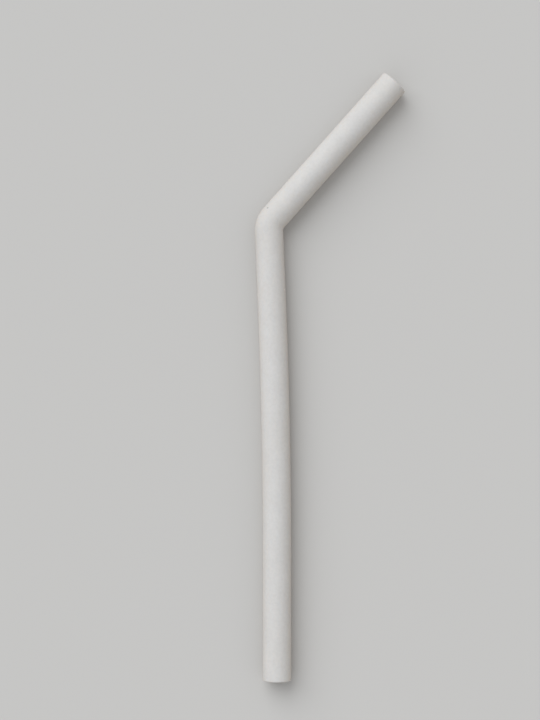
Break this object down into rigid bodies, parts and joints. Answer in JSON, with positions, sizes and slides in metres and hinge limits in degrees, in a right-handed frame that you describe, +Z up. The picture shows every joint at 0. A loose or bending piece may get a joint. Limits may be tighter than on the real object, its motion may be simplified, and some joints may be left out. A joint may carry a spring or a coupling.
{
  "type": "drinking straw",
  "caption": "Bent drinking straw: a soft round tube of even wall with a gently bowed lower leg, a tight bend and a straight mouth leg, open-ended with rounded lips.",
  "frame": {"origin": "on the surface that the straw lies on, below the middle of its outline seen from above", "axes": "+Z up from that surface, +Y along the lower leg from its open end to the bend, +X to the side that the mouth leg turns towards"},
  "size_m": [0.058, 0.2354, 0.011],
  "materials": {
    "silicone": "matt off-white silicone rubber"
  },
  "bodies": {
    "root": {"straw": "silicone"}
  },
  "joints": []
}
